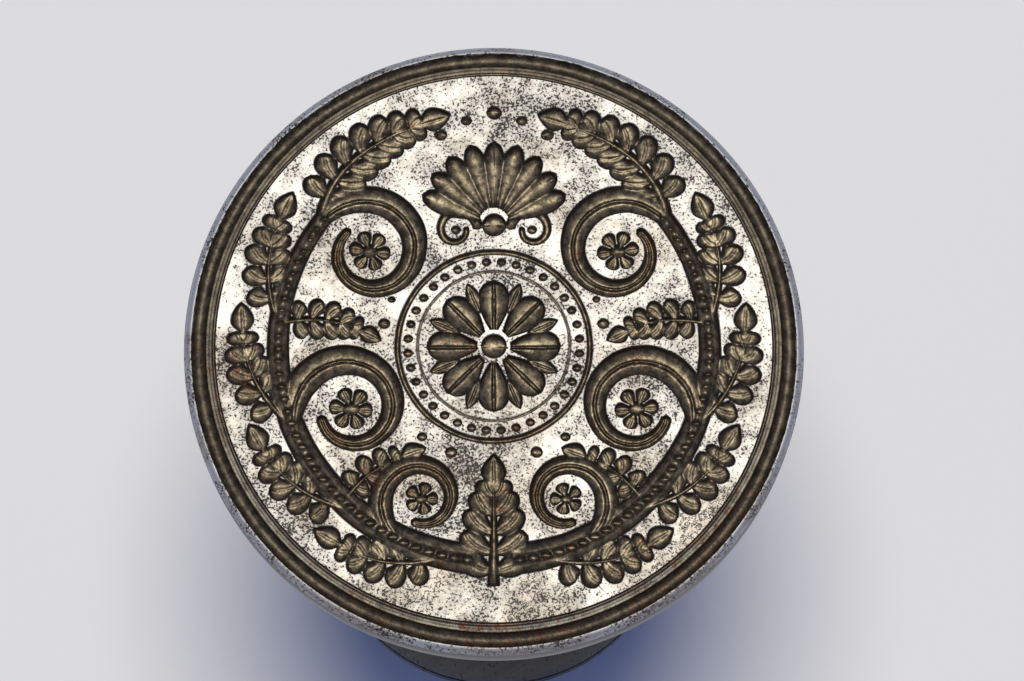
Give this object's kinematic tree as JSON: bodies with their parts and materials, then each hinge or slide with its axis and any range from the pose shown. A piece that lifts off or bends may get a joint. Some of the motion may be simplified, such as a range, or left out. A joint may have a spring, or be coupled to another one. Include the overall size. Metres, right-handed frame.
{
  "type": "desk seal",
  "caption": "Hand-held desk seal: a round steel die engraved in intaglio, on a flared steel neck and a turned wooden handle with a ferrule and a ball knob; it presses a relief into wax.",
  "frame": {"origin": "middle of the flat end of the handle, on the surface that the seal stands on", "axes": "+Z along the seal's axis towards the engraved face, +Y towards the top of the engraving, +X to its right"},
  "size_m": [0.06, 0.06, 0.119],
  "materials": {
    "die_steel": "worn bright face, pitted, with dark brown patina in the cuts",
    "neck_steel": "turned, dulled grey",
    "fastening_steel": "plain turned steel",
    "handle_wood": "blackened turned hardwood, hand-polished",
    "plug_wood": "blackened turned hardwood, end grain"
  },
  "bodies": {
    "root": {"seal_die": "die_steel", "die_dowels": "fastening_steel", "neck": "neck_steel", "tie_rod": "fastening_steel", "ferrule": "neck_steel", "ferrule_pins": "fastening_steel", "handle": "handle_wood", "rod_washer": "fastening_steel", "rod_nut": "fastening_steel", "end_plug": "plug_wood"}
  },
  "joints": []
}
